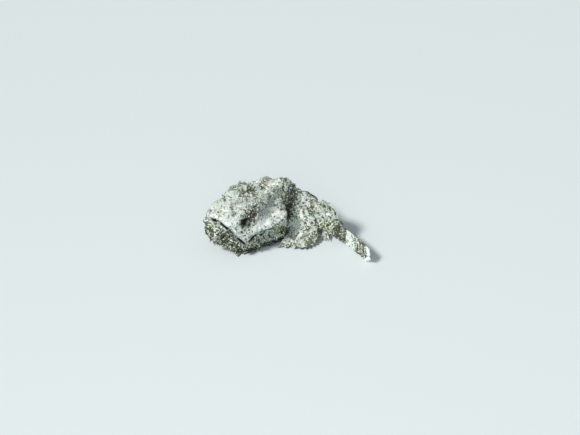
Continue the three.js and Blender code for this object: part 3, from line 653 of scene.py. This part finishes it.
def camouflage(name, fineness=1.0, relief_depth=0.001):
    """Camouflaged skin: cream and sage with dark blotches and flecks two to four millimetres across, dusted with
    sand on top. The markings of a piece shift how much of it is dark."""
    finish = bpy.data.materials.new(name)
    finish.use_nodes = True
    tree = finish.node_tree
    shader = tree.nodes["Principled BSDF"]
    where = add_node(tree, "ShaderNodeTexCoord", {}).outputs["Object"]
    wander = add_node(tree, "ShaderNodeTexNoise", {"Vector": where, "Scale": WANDER_CELLS, "Detail": 2.0})
    bent_where = add_node(tree, "ShaderNodeVectorMath", {
        0: wander.outputs["Color"], 1: (WANDER, WANDER, WANDER), 2: where,
    }, operation="MULTIPLY_ADD").outputs[0]
    patches = mottle(tree, where, PATCH_CELLS, 6.0, 0.65)
    blotches = mottle(tree, bent_where, BLOTCH_CELLS * fineness, 3.0, 0.6)
    dots = mottle(tree, bent_where, DOT_CELLS * fineness, 2.0, 0.5)
    grain = mottle(tree, where, GRAIN_CELLS, 3.0)
    flecks = add_node(tree, "ShaderNodeTexVoronoi", {"Vector": bent_where, "Scale": FLECK_CELLS * fineness})
    fleck_kind = add_node(tree, "ShaderNodeSeparateColor", {0: flecks.outputs["Color"]})
    freckles = add_node(tree, "ShaderNodeTexVoronoi", {"Vector": bent_where, "Scale": FRECKLE_CELLS * fineness})
    freckle_kind = add_node(tree, "ShaderNodeSeparateColor", {0: freckles.outputs["Color"]})

    # Light skin: cream to sage, tinted by the markings, with soft freckles
    olive, pale = mark_of(tree, "olive"), mark_of(tree, "pale")
    light = painted(tree, CREAM, SAGE, step_at(tree, patches, 0.42, 0.60, 0.0, 0.9))
    light = painted(tree, light, OLIVE, product(tree, olive, 0.62))
    light = painted(tree, light, ALGAE, product(tree, mark_of(tree, "green"), 0.88))
    light = painted(tree, light, RUST, product(tree, mark_of(tree, "brown"), 0.75))
    light = painted(tree, light, SAND, product(tree, pale, 0.9))
    freckle_edge = step_at(tree, freckles.outputs["Distance"], 0.52, 0.30)
    freckled = product(tree, freckle_edge, step_at(tree, freckle_kind.outputs["Red"], 0.52, 0.58, 0.0, 0.8))
    light = painted(tree, light, FRECKLE, freckled)

    # Dark blotches over it, where the noise and the markings together pass a level, then dark and white flecks
    night = painted(tree, BLACKISH, UMBER, step_at(tree, fleck_kind.outputs["Red"], 0.35, 0.75))
    level = product(tree, olive, 0.13, blotches)
    level = product(tree, pale, -0.19, level)
    level = product(tree, patches, 0.30, level)
    # The shade mark packs the black blotches closer: painted shade behind the hump, the gill cover and under the
    # head, and the fish's own darker chin, fins and tail root
    level = product(tree, mark_of(tree, "shade"), 0.17, level)
    colour = painted(tree, light, night, step_at(tree, level, DARK_FROM, DARK_TO, 0.0, 0.95))
    specks = step_at(tree, flecks.outputs["Distance"], 0.42, 0.32)
    dark_specks = product(tree, specks, step_at(tree, fleck_kind.outputs["Green"], 0.62, 0.66))
    colour = painted(tree, colour, night, product(tree, dark_specks, 0.92))
    colour = painted(tree, colour, SAND, product(tree, step_at(tree, dots, 0.575, 0.605), 0.85))

    # Sand that lies on whatever faces up, and black from the dark marks: painted shade in grooves, pits, the mouth's
    # gap and under the head, and the fins' and tail's own black marks
    upward = add_node(tree, "ShaderNodeSeparateXYZ", {
        0: add_node(tree, "ShaderNodeNewGeometry", {}).outputs["Normal"],
    }).outputs["Z"]
    dust = product(tree, step_at(tree, upward, 0.35, 0.95, 0.0, 0.35), step_at(tree, grain, 0.42, 0.6))
    colour = painted(tree, colour, SAND, dust)
    colour = painted(tree, colour, SHADE_AND_MARK_BLACK, mark_of(tree, "dark"))
    tree.links.new(colour, shader.inputs["Base Color"])
    tree.links.new(step_at(tree, grain, 0.3, 0.7, 0.55, 0.9), shader.inputs["Roughness"])
    shader.inputs["Specular IOR Level"].default_value = 0.3
    height = product(tree, grain, 0.35, product(tree, blotches, 1.2))
    height = product(tree, specks, 0.25, height)
    bump = add_node(tree, "ShaderNodeBump", {"Height": height, "Strength": 0.9, "Distance": relief_depth})
    tree.links.new(bump.outputs["Normal"], shader.inputs["Normal"])
    return finish


hide_points = take_vectors(hide_mesh.attributes["straight"].data, "vector")
hide_marks = markings(hide_points)
note_markings(hide_mesh, hide_marks)
hide_mesh.materials.append(camouflage("camouflaged_hide"))


# Eyes: two wet balls held in the lids, turned to the sides and a little up. The iris carries dark red and pale
# clouds round a dark pupil with a thin dull ring, under one clear glossy front.
PUPIL = (0.004, 0.004, 0.005, 1)
PUPIL_RING = (0.20, 0.14, 0.07, 1)
IRIS_SHADE = (0.028, 0.012, 0.010, 1)
IRIS = (0.10, 0.050, 0.040, 1)
IRIS_CLOUD = (0.42, 0.40, 0.41, 1)


def place_eye(side):
    middle = bend(EYE_MIDDLE * (1, side, 1))
    gaze = Vector(bend((EYE_MIDDLE + GAZE) * (1, side, 1)) - middle).normalized()
    ball = bmesh.new()
    bmesh.ops.create_uvsphere(ball, u_segments=96, v_segments=64, radius=EYE_RADIUS / 1000)
    bmesh.ops.transform(ball, matrix=gaze.to_track_quat("Z", "Y").to_matrix().to_4x4(), verts=ball.verts)
    bmesh.ops.translate(ball, vec=Vector(middle), verts=ball.verts)
    name = "left" if side < 0 else "right"
    ball_mesh = bpy.data.meshes.new("eyeball_" + name)
    ball.to_mesh(ball_mesh)
    ball.free()
    points = take_vectors(ball_mesh.vertices, "co")
    height = (points - middle) @ np.array(gaze)
    note(ball_mesh, "from_pupil", np.arccos(np.clip(height / (EYE_RADIUS / 1000), -1, 1)))
    eyeball = add_piece("eyeball_" + name, ball_mesh)
    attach(eyeball, "root")
    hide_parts("eye_" + name)
    return eyeball


def wet_eye():
    finish = bpy.data.materials.new("glass_eye")
    finish.use_nodes = True
    tree = finish.node_tree
    shader = tree.nodes["Principled BSDF"]
    where = add_node(tree, "ShaderNodeTexCoord", {}).outputs["Object"]
    from_pupil = mark_of(tree, "from_pupil")
    fibres = mottle(tree, where, 900.0, 4.0, 0.7)
    clouds = mottle(tree, where, 300.0, 3.0)
    iris = painted(tree, IRIS_SHADE, IRIS, step_at(tree, fibres, 0.42, 0.66))
    iris = painted(tree, iris, IRIS_CLOUD, step_at(tree, clouds, 0.52, 0.58, 0.0, 0.75))
    ring = product(tree, step_at(tree, from_pupil, 0.27, 0.31), step_at(tree, from_pupil, 0.37, 0.33))
    colour = painted(tree, iris, PUPIL_RING, product(tree, ring, 0.6))
    colour = painted(tree, PUPIL, colour, step_at(tree, from_pupil, 0.26, 0.30))
    white_dots = step_at(tree, mottle(tree, where, 620.0, 2.0), 0.60, 0.66, 0.0, 0.7)
    colour = painted(tree, colour, SAGE, product(tree, white_dots, step_at(tree, from_pupil, 0.3, 0.5)))
    tree.links.new(colour, shader.inputs["Base Color"])
    tree.links.new(step_at(tree, fibres, 0.3, 0.7, 0.22, 0.36), shader.inputs["Roughness"])
    shader.inputs["Coat Weight"].default_value = 0.5
    shader.inputs["Coat Roughness"].default_value = 0.08
    bump = add_node(tree, "ShaderNodeBump", {"Height": fibres, "Strength": 0.15, "Distance": 0.0002})
    tree.links.new(bump.outputs["Normal"], shader.inputs["Normal"])
    return finish


eye_finish = wet_eye()
for eyeball in (place_eye(-1), place_eye(1)):
    eyeball.data.materials.append(eye_finish)


# Fins: thin webs of skin over fans of bony rays, which stand out as ridges on both sides and fray a little at the
# edge. Each grows from the back, the tail's root or the belly, and takes the place of its solid.
STEPS_BETWEEN_RAYS = 14
NUDGE = 0.004
FORK_FROM, FORK_TO = 0.45, 0.65
EDGE_BEVEL, EDGE_THICKNESS = 0.03, 0.35

fin_finish = camouflage("camouflaged_fin", 1.15, 0.0004)


def lerp(a, b, t):
    return a + (b - a) * t


def fin_sheet(name, node, place, marks, rays, root_ray, tip_ray, web, notch, rows=60):
    """place(u, t) gives the sheet in metres: u runs over the fan of rays and t from root to edge. The rays' and the
    web's thicknesses are in millimetres, and notch is how deep the edge cuts in between the rays."""
    slab = bmesh.new()
    bmesh.ops.create_grid(slab, x_segments=(rays - 1) * STEPS_BETWEEN_RAYS, y_segments=rows, size=0.5)
    bmesh.ops.solidify(slab, geom=slab.faces[:], thickness=0.1)
    bmesh.ops.recalc_face_normals(slab, faces=slab.faces)
    fin_mesh = bpy.data.meshes.new(name)
    slab.to_mesh(fin_mesh)
    slab.free()
    flat = take_vectors(fin_mesh.vertices, "co")
    u, t = np.clip(flat[:, 0] + 0.5, 0, 1), np.clip(flat[:, 1] + 0.5, 0, 1)
    face = np.where(flat[:, 2] > flat[:, 2].mean(), 1.0, -1.0)

    between = np.sin(math.pi * u * (rays - 1)) ** 2
    uneven = 0.35 * np.sin(u * 23.0) + 0.25 * np.sin(u * 41.0 + 1.7)
    reach = 1 - notch * (between * (1 + 0.6 * uneven) + 0.25 * (1 + uneven))
    t = t * reach
    inner_t = np.clip(t, NUDGE, 1 - NUDGE)
    inner_u = np.clip(u, NUDGE, 1 - NUDGE)
    along_u = place(inner_u + NUDGE, inner_t) - place(inner_u - NUDGE, inner_t)
    along_t = place(inner_u, inner_t + NUDGE) - place(inner_u, inner_t - NUDGE)
    out = np.cross(along_u, along_t)
    out /= np.maximum(np.linalg.norm(out, axis=1, keepdims=True), 1e-12)

    ridge = np.clip(1 - between * 1.5, 0, 1) ** 0.7
    forked = ramp(t, FORK_FROM, FORK_TO)
    branch = np.clip(1 - np.sin(2 * math.pi * u * (rays - 1)) ** 2 * 1.2, 0, 1)
    ridge = ridge * (1 - 0.5 * forked) + 0.5 * forked * branch
    knuckle = 1 + 0.12 * np.sin(t * 75) * np.clip(t * 3 - 0.3, 0, 1)
    thickness = lerp(web, web * 0.6, t) + (lerp(root_ray, tip_ray, t) - web) * ridge * knuckle
    thickness = thickness * np.clip((reach - t) / EDGE_BEVEL + EDGE_THICKNESS, EDGE_THICKNESS, 1)
    half_in_metres = thickness / 2000
    points = place(u, t) + out * (face * half_in_metres)[:, None]
    points[:, 2] = np.maximum(points[:, 2], 0)
    put_points(fin_mesh, points)
    note_markings(fin_mesh, marks(u, t, ridge, points))
    fin_mesh.materials.append(fin_finish)
    sheet = add_piece(name, fin_mesh)
    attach(sheet, "root")
    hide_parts(node)


def points_of(x, y, z):
    x, y, z = np.broadcast_arrays(x, y, z)
    return np.stack((x, y, z), -1)


spine_reach = track([(0, 10), (0.2, 14), (0.6, 13), (1, 12)])
crest_height = track([(0, 4), (0.3, 4.5), (0.55, 3.4), (0.75, 5), (0.9, 8), (1, 10.5)])


def spiny_dorsal(u, t):
    x = lerp(94, 150, u) + spine_reach(u) * t
    return bend(points_of(x, 0, back(x) + lerp(-5, crest_height(u), t)))


dorsal_ray = track([(0, 17), (0.3, 22), (0.7, 20), (1, 13)])


def soft_dorsal(u, t):
    x = lerp(156, 182, u)
    length = (dorsal_ray(u) + 5) * t
    lean = np.radians(lerp(52, 34, u))
    return bend(points_of(x + length * np.cos(lean), -2.5 * t * t, back(x) - 5 + length * np.sin(lean)))


def tail_fin(u, t):
    spread = 2 * u - 1
    length = 4 + TAIL_FIN_LENGTH - 6 * spread * spread
    rise = 10.5 + 2.5 * np.sin(2.4 * t) - 1.5 * t
    fold = 1.6 * np.sin(2.6 * math.pi * u) * t
    return bend(points_of(BODY_LENGTH - 4 + length * t, fold, lerp(18, 12.5, t) + rise * spread))


def laid(root, tip, arch, t):
    """A point on the way from root to tip, lifted by the arch."""
    return root + (tip - root) * t[..., None] + arch


def anal_fin(u, t):
    root = points_of(lerp(151, 174, u), -1, lerp(5, 9, u))
    tip = points_of(lerp(166, 191, u), lerp(-22, -12, u), lerp(1.4, 2.5, u))
    return bend(laid(root, tip, points_of(0, 0, 3 * np.sin(math.pi * t)), t))


PAIRED_FINS_AT = 119


def beside_body(p):
    """The paired fins aren't bent with the spine: they stay straight, in line with the body where they grow."""
    x, y, heading = walk_spine(PAIRED_FINS_AT)
    ahead = p[..., 0] - PAIRED_FINS_AT
    c, s = np.cos(heading), np.sin(heading)
    turned = np.stack((x + ahead * c - p[..., 1] * s, y + ahead * s + p[..., 1] * c, p[..., 2]), -1)
    return turned / 1000 + POSE_OFFSET


pectoral_tip_x = track([(0, 151), (0.15, 157), (0.35, 160), (0.5, 157), (0.65, 149), (0.8, 135), (1, 103)])
pectoral_tip_y = track([(0, 19), (0.15, 26), (0.35, 37), (0.5, 46), (0.65, 54), (0.8, 56), (1, 52)])
pectoral_tip_z = track([(0, 34), (0.15, 25), (0.35, 11), (0.5, 4), (0.65, 1.2), (1, 1.2)])


def pectoral_fin(side):
    def place(across, t):
        u = across if side < 0 else 1 - across
        root = points_of(lerp(128, 122, u), side * lerp(14, 21, u), lerp(36, 7, u))
        tip = points_of(pectoral_tip_x(u), side * pectoral_tip_y(u), pectoral_tip_z(u))
        arch = 6 * np.sin(math.pi * t) * (1 - 0.4 * u)
        return beside_body(laid(root, tip, points_of(0, side * 0.5 * arch, arch), t))

    return place


def pelvic_fin(side):
    def place(across, t):
        u = across if side < 0 else 1 - across
        root = points_of(lerp(108, 124, u), side * lerp(17, 13, u), 3.5)
        tip = points_of(lerp(139, 152, u), side * lerp(40, 22, u), 1.2)
        return beside_body(laid(root, tip, points_of(0, 0, 2 * np.sin(math.pi * t)), t))

    return place


def wavy(points, size):
    """Noise from -0.5 to 0.5 whose lumps are about size millimetres across."""
    return grit(points * 1000, size) - 0.5


def body_fin_marks(u, t, ridge, points):
    bands = 0.5 + 0.5 * np.sin(17 * t + 7 * wavy(points, 8) + 1.2 * np.sin(9 * u))
    edge = ramp(t, 0.86, 0.96)
    return {
        "dark": 0.2 * (1 - ridge) * (t < 0.9) * bands,
        "olive": 0.05 + 0.4 * bands - 0.4 * edge,
        "pale": 0.28 + 0.28 * edge,
        "green": 0.3 * bands,
        "brown": 0.4 * bands * wavy(points, 9),
        "shade": 0.35 * bands,
    }


def pectoral_marks(u, t, ridge, points):
    rings = 0.5 + 0.5 * np.sin(19 * t + 9 * wavy(points, 9) - 0.6)
    dots = (0.5 + 0.5 * np.sin(46 * t + 5 * wavy(points, 5))) * ridge
    base = ramp(t, 0.42, 0.22)
    edge = ramp(t, 0.9, 0.96)
    return {
        "dark": 0.5 * edge * (1 - ridge) + 0.25 * dots * (t > 0.5),
        "olive": 0.1 + 0.35 * rings * (1 - base) + 0.35 * edge,
        "pale": 0.55 * base + 0.42 * (1 - rings),
        "green": 0.3 * rings * (1 - base),
        "brown": 0.12 * base,
        "shade": 0.35 * rings * (1 - base) + 0.6 * edge,
    }


def tail_marks(u, t, ridge, points):
    t = t + 0.05 * wavy(points, 7)
    root = ramp(t, 0.215, 0.185)
    band = ramp(t, 0.46, 0.54) * ramp(t, 0.87, 0.84)
    dots = 0.5 + 0.5 * np.sin(70 * t + 6 * wavy(points, 6))
    margin = ramp(t, 0.865, 0.885)
    return {
        "dark": 0.15 * band * dots + 0.25 * root,
        "olive": 0.9 * root + band * (0.25 + 0.35 * dots) - margin,
        "pale": 1.9 * margin + 0.32 * (1 - root) * (1 - band),
        "green": 0.12 * band,
        "brown": 0.2 * band * dots,
        "shade": 1.0 * root + 0.5 * band * dots - 2 * margin,
    }


fin_sheet("spiny_dorsal_fin", "dorsal_fin_spiny", spiny_dorsal, body_fin_marks,
          rays=12, root_ray=3.2, tip_ray=1.6, web=0.9, notch=0.3)
fin_sheet("soft_dorsal_fin", "dorsal_fin_soft", soft_dorsal, body_fin_marks,
          rays=9, root_ray=2.0, tip_ray=0.8, web=0.6, notch=0.1)
fin_sheet("tail_fin", "caudal_fin", tail_fin, tail_marks,
          rays=12, root_ray=2.2, tip_ray=0.9, web=0.6, notch=0.05, rows=90)
fin_sheet("anal_fin_lobe", "anal_fin", anal_fin, body_fin_marks,
          rays=8, root_ray=2.2, tip_ray=0.9, web=0.7, notch=0.12)
for side, name in ((-1, "left"), (1, "right")):
    fin_sheet("pectoral_fan_" + name, "pectoral_fin_" + name, pectoral_fin(side), pectoral_marks,
              rays=16, root_ray=2.6, tip_ray=1.0, web=0.7, notch=0.07, rows=80)
    fin_sheet("pelvic_fan_" + name, "pelvic_fin_" + name, pelvic_fin(side), body_fin_marks,
              rays=6, root_ray=2.4, tip_ray=1.0, web=0.7, notch=0.1)


# Skin flaps: soft tassels of hide that break up the outline. They fringe the chin, lips, cheeks, brows and gill
# covers, stand scattered over the hump and flanks, and are small papillae elsewhere.
FLAP_SIDES, FLAP_ROWS = 5, 5
ROOT_DEPTH = 1.2
LIP_BAND = 1.2
CLEAR_OF_EYE = 2.5
LOWEST_ROOT = 2.5
LEANING = (1.0, 0, -0.3)
FLAP_THICKNESS = 0.16
UV_PATCH = 0.003

# Each belt: how many flaps, where along the body, degrees above the widest level or the width of a band round the
# mouth's line, shortest and longest, and width
FLAP_BELTS = [
    {"count": 110, "x": (-3, 40), "angle": (-60, -10), "length": (2, 4), "width": 2.8},
    {"count": 4, "x": (30, 34), "angle": (55, 68), "length": (1.8, 2.8), "width": 1.8},
    {"count": 36, "x": (2, 34), "lip": 7, "length": (1.4, 2.6), "width": 1.6},
    # The long fringe under the cheeks takes the hide's painted shadow at its roots and so hangs dark towards the
    # floor
    {"count": 170, "x": (22, 112), "angle": (-62, -26), "length": (6, 11), "width": 4.2},
    {"count": 22, "x": (44, 62), "angle": (54, 66), "length": (3, 7), "width": 2.6},
    {"count": 120, "x": (38, 76), "angle": (-34, 4), "length": (2, 4.5), "width": 2.8},
    {"count": 120, "x": (76, 114), "angle": (-36, 36), "length": (2, 4.5), "width": 2.8},
    {"count": 70, "x": (64, 112), "angle": (44, 82), "length": (1.8, 3.8), "width": 2.6},
    {"count": 130, "x": (112, 152), "angle": (0, 80), "length": (2, 4), "width": 2.6},
    {"count": 90, "x": (150, 200), "angle": (-30, 80), "length": (1.6, 3.4), "width": 2.3},
    {"count": 1500, "x": (-4, 202), "angle": (-50, 90), "length": (1.0, 2.0), "width": 1.5},
]


def flap_form():
    """One straight flap from z = 0 at its root to z = 1 at its tip, round and a unit wide."""
    form = bmesh.new()
    bmesh.ops.create_cone(form, cap_ends=True, segments=FLAP_SIDES, radius1=1, radius2=1, depth=1)
    upright = [edge for edge in form.edges if abs(edge.verts[0].co.z - edge.verts[1].co.z) > 0.5]
    bmesh.ops.subdivide_edges(form, edges=upright, cuts=FLAP_ROWS - 2, use_grid_fill=False)
    bmesh.ops.translate(form, vec=(0, 0, 0.5), verts=form.verts)
    mesh = bpy.data.meshes.new("flap_form")
    form.to_mesh(mesh)
    form.free()
    return mesh


def degrees_up(hide, sideways):
    """How far round the body points lie, in degrees above the widest level."""
    return np.degrees(np.arctan2(hide[:, 2] - widest_at(hide[:, 0]), sideways))


def belt_roots(belt, hide, draw):
    x, z = hide[:, 0], hide[:, 2]
    there = (x > belt["x"][0]) & (x < belt["x"][1]) & (z > LOWEST_ROOT)
    if "angle" in belt:
        angle = degrees_up(hide, np.abs(hide[:, 1]))
        there &= (angle > belt["angle"][0]) & (angle < belt["angle"][1])
    if "lip" in belt:
        there &= np.abs(np.abs(lip_line(mirrored(hide))) - belt["lip"] / 2) < LIP_BAND
    there &= np.linalg.norm(mirrored(hide) - EYE_MIDDLE, axis=-1) > EYE_RADIUS + CLEAR_OF_EYE
    choice = draw.choice(np.flatnonzero(there), belt["count"], replace=False)
    length = draw.uniform(*belt["length"], belt["count"])
    width = belt["width"] * draw.uniform(0.7, 1.3, belt["count"])
    return choice, length, width


def raise_blades(name, root, normal, length, width, lay, thickness, taper, marks):
    """One mesh of blades on the hide, and the points of a single blade. lay holds each blade's sweep to the tail,
    its sideways curl and its twist."""
    form = flap_form()
    one = take_vectors(form.vertices, "co")
    many = bmesh.new()
    for _ in root:
        many.from_mesh(form)
    blade_mesh = bpy.data.meshes.new(name)
    many.to_mesh(blade_mesh)
    many.free()
    bpy.data.meshes.remove(form)
    backward = np.array(LEANING) - normal * (normal @ LEANING)[:, None]
    backward /= np.linalg.norm(backward, axis=1, keepdims=True)
    across = np.cross(normal, backward)
    twist = lay["twist"][:, None]
    ahead = backward * np.cos(twist) + across * np.sin(twist)
    aside = across * np.cos(twist) - backward * np.sin(twist)
    sweep, curl = lay["sweep"][:, None, None], lay["curl"][:, None, None]
    t = one[None, :, 2, None]
    length, width = length[:, None, None], width[:, None, None]
    narrowed = width * taper(t, sweep)
    p = root[:, None] + normal[:, None] * (-ROOT_DEPTH + (length * (1 - 0.4 * sweep) + ROOT_DEPTH) * t)
    p = p + ahead[:, None] * (sweep * length * t * t + one[None, :, 1, None] * narrowed * thickness)
    p = p + aside[:, None] * (curl * length * t * t + one[None, :, 0, None] * narrowed * 0.5)
    p[..., 2] = np.maximum(p[..., 2], 0.1)
    put_points(blade_mesh, bend(p.reshape(-1, 3)))
    note_markings(blade_mesh, {key: np.repeat(value, len(one)) for key, value in marks.items()})
    blades = add_piece(name, blade_mesh)
    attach(blades, "root")
    return blades, one


def flap_taper(t, sweep):
    return (1 - 0.62 * t * t) * (1 + 0.22 * np.sin(9 * t + 20 * sweep))


def grow_flaps(name, belts, hide, out, marks, seed):
    draw = np.random.RandomState(seed)
    rows = [belt_roots(belt, hide, draw) for belt in belts]
    choice, length, width = (np.concatenate(part) for part in zip(*rows))
    root = hide[choice]
    lay = {
        "twist": draw.uniform(-0.9, 0.9, len(choice)), "sweep": draw.uniform(0.45, 1.1, len(choice)),
        "curl": draw.uniform(-0.35, 0.35, len(choice)),
    }
    chosen = {key: value[choice] for key, value in marks.items()}
    flaps, one = raise_blades(name, root, out[choice], length, width, lay, FLAP_THICKNESS, flap_taper, chosen)

    around = degrees_up(root, root[:, 1]) / 360 + 0.5
    patch = np.stack((root[:, 0] / BODY_LENGTH * 0.9 + 0.05, around * 0.9 + 0.05), -1)[:, None]
    within = np.stack((np.arctan2(one[:, 1], one[:, 0]) / (2 * math.pi) + 0.5, one[:, 2]), -1)[None]
    places = (patch + UV_PATCH * (within - 0.5)).reshape(-1, 2)
    corner = np.empty(len(flaps.data.loops), np.int32)
    flaps.data.loops.foreach_get("vertex_index", corner)
    unwrap = flaps.data.uv_layers.new(name="OFBake")
    unwrap.data.foreach_set("uv", places[corner].astype(np.float32).ravel())
    flaps.data.materials.append(camouflage("camouflaged_flaps", 1.3, 0.0003))


hide_out = slope_of(to_skin, hide_points)
grow_flaps("skin_flaps", FLAP_BELTS, hide_points, hide_out, hide_marks, seed=11)


# Head spines: short blunt spines of bone under thin hide, in rows along the ridge under the eye, the brow, the nape
# and the gill cover, where they are part of the skull.
SPINE_WIDTH, SPINE_THICKNESS, SPINE_SWEEP = 2.6, 0.5, 0.6

# Each spine: its place along the body, degrees above the widest level, and length
HEAD_SPINES = [
    (46, 22, 4), (60, 23, 4), (72, 24, 4), (44, 60, 4.5), (60, 62, 4.5), (74, 63, 5), (88, 68, 5), (84, 24, 5),
    (98, 30, 5), (106, 34, 5),
]


def spine_taper(t, _):
    return 1 - 0.88 * t


def nearest_on_hide(x, degrees, side, hide):
    angle = degrees_up(hide, np.abs(hide[:, 1]))
    far = ((hide[:, 0] - x) / 1.5) ** 2 + ((angle - degrees) / 3) ** 2 + 1e6 * (hide[:, 1] * side < 0)
    return int(np.argmin(far))


spots = [nearest_on_hide(x, degrees, side, hide_points) for side in (-1, 1) for x, degrees, _ in HEAD_SPINES]
spine_length = np.array([length for _ in (-1, 1) for _, _, length in HEAD_SPINES], float)
spine_lay = {"twist": np.zeros(len(spots)), "sweep": np.full(len(spots), SPINE_SWEEP), "curl": np.zeros(len(spots))}
spine_marks = {key: value[spots] for key, value in hide_marks.items()}
head_spines, _ = raise_blades(
    "head_spines", hide_points[spots], hide_out[spots], spine_length, np.full(len(spots), SPINE_WIDTH),
    spine_lay, SPINE_THICKNESS, spine_taper, spine_marks,
)
head_spines.data.materials.append(camouflage("camouflaged_spines", 1.2, 0.0003))
